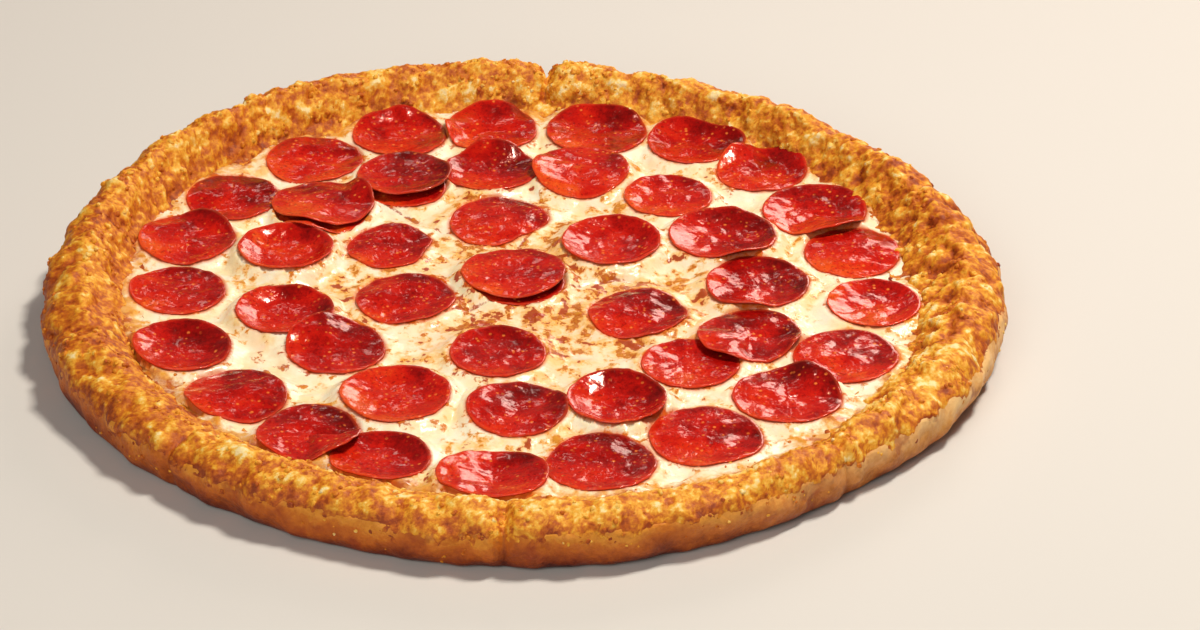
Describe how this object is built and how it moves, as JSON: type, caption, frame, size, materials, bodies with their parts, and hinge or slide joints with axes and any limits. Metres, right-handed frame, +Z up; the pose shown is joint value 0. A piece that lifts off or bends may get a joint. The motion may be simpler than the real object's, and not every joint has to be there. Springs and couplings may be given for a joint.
{
  "type": "pepperoni pizza",
  "caption": "Whole round baked pizza with a thick cheese-crusted rim, melted cheese and a full layer of pepperoni slices; it lies flat on its base.",
  "frame": {"origin": "on the flat underside, in the middle of the oval outline", "axes": "+Z up, the shortest extent; +X along the longest width, to the viewer's right; +Y away from the viewer"},
  "size_m": [0.3685, 0.3542, 0.0328],
  "materials": {
    "baked_crust": "baked dough with a rough golden crust of baked cheese",
    "melted_cheese": "melted cheese, creamy, oily and browned in spots",
    "pepperoni": "cured sausage, oily, with small fat flecks"
  },
  "bodies": {
    "root": {"crust": "baked_crust", "cheese": "melted_cheese", "pepperoni_outer_01": "pepperoni", "pepperoni_outer_02": "pepperoni", "pepperoni_outer_03": "pepperoni", "pepperoni_outer_04": "pepperoni", "pepperoni_outer_05": "pepperoni", "pepperoni_outer_06": "pepperoni", "pepperoni_outer_07": "pepperoni", "pepperoni_outer_08": "pepperoni", "pepperoni_outer_09": "pepperoni", "pepperoni_outer_10": "pepperoni", "pepperoni_outer_11": "pepperoni", "pepperoni_outer_12": "pepperoni", "pepperoni_outer_13": "pepperoni", "pepperoni_outer_14": "pepperoni", "pepperoni_outer_15": "pepperoni", "pepperoni_outer_16": "pepperoni", "pepperoni_outer_17": "pepperoni", "pepperoni_outer_18": "pepperoni", "pepperoni_outer_19": "pepperoni", "pepperoni_outer_20": "pepperoni", "pepperoni_outer_21": "pepperoni", "pepperoni_middle_01": "pepperoni", "pepperoni_middle_02": "pepperoni", "pepperoni_middle_03": "pepperoni", "pepperoni_middle_04": "pepperoni", "pepperoni_middle_05": "pepperoni", "pepperoni_middle_06": "pepperoni", "pepperoni_middle_07": "pepperoni", "pepperoni_middle_08": "pepperoni", "pepperoni_middle_09": "pepperoni", "pepperoni_middle_10": "pepperoni", "pepperoni_middle_11": "pepperoni", "pepperoni_middle_12": "pepperoni", "pepperoni_middle_13": "pepperoni", "pepperoni_middle_14": "pepperoni", "pepperoni_middle_15": "pepperoni", "pepperoni_middle_16": "pepperoni", "pepperoni_middle_17": "pepperoni", "pepperoni_inner_01": "pepperoni", "pepperoni_inner_02": "pepperoni", "pepperoni_inner_03": "pepperoni", "pepperoni_inner_04": "pepperoni", "pepperoni_inner_05": "pepperoni", "pepperoni_inner_06": "pepperoni", "pepperoni_inner_07": "pepperoni", "pepperoni_inner_08": "pepperoni"}
  },
  "joints": []
}
